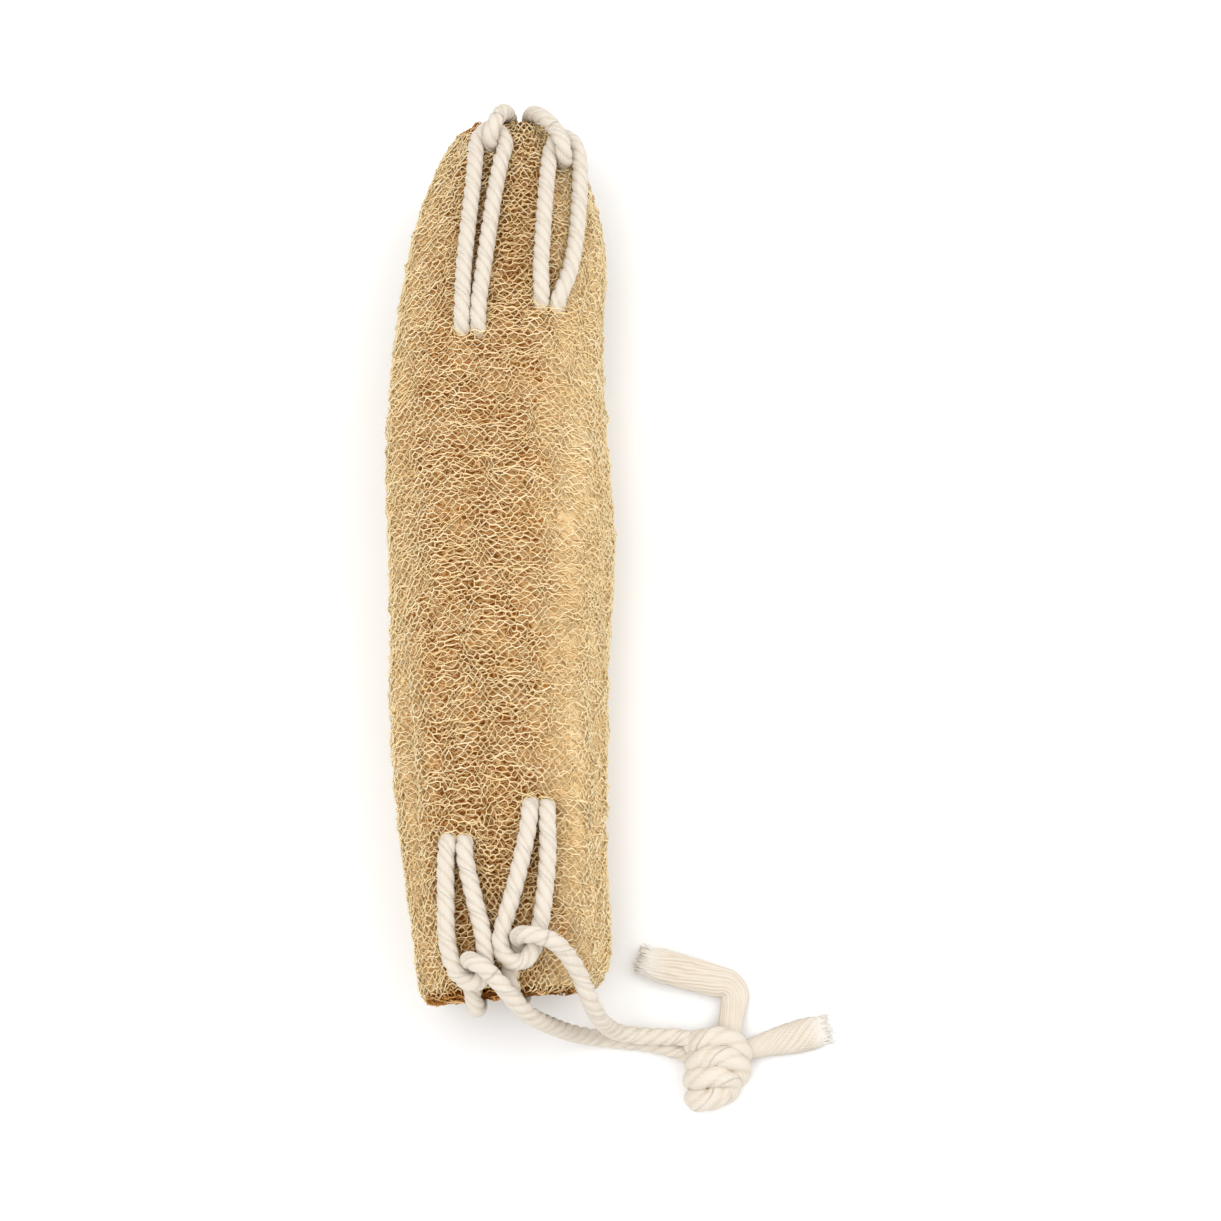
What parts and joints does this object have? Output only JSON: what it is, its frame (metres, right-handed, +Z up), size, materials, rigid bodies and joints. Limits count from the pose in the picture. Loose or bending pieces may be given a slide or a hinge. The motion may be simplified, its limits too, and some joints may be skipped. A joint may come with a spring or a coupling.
{
  "type": "natural loofah sponge",
  "caption": "Whole natural loofah sponge, trimmed at both ends, with a twisted cotton rope threaded through each end in long loops and tied in a frayed knot.",
  "frame": {"origin": "under the middle of the sponge, on the surface it lies on", "axes": "+Y along the sponge from its cut near end to its tapered far end, +Z up out of the face that carries the rope loops, +X to the right seen from the near end"},
  "size_m": [0.1614, 0.3754, 0.0619],
  "materials": {
    "loofah_fibre": "dry matt plant fibre",
    "cotton_rope": "undyed matt twisted cotton"
  },
  "bodies": {
    "root": {"loofah": "loofah_fibre", "near_rope_threaded": "cotton_rope", "near_rope_left_arm": "cotton_rope", "near_rope_right_arm": "cotton_rope", "near_rope_knot": "cotton_rope", "near_rope_long_tail": "cotton_rope", "near_rope_short_tail": "cotton_rope", "far_rope_threaded": "cotton_rope", "far_rope_left_arm": "cotton_rope", "far_rope_right_arm": "cotton_rope", "far_rope_knot": "cotton_rope", "far_rope_long_tail": "cotton_rope", "far_rope_short_tail": "cotton_rope"}
  },
  "joints": []
}
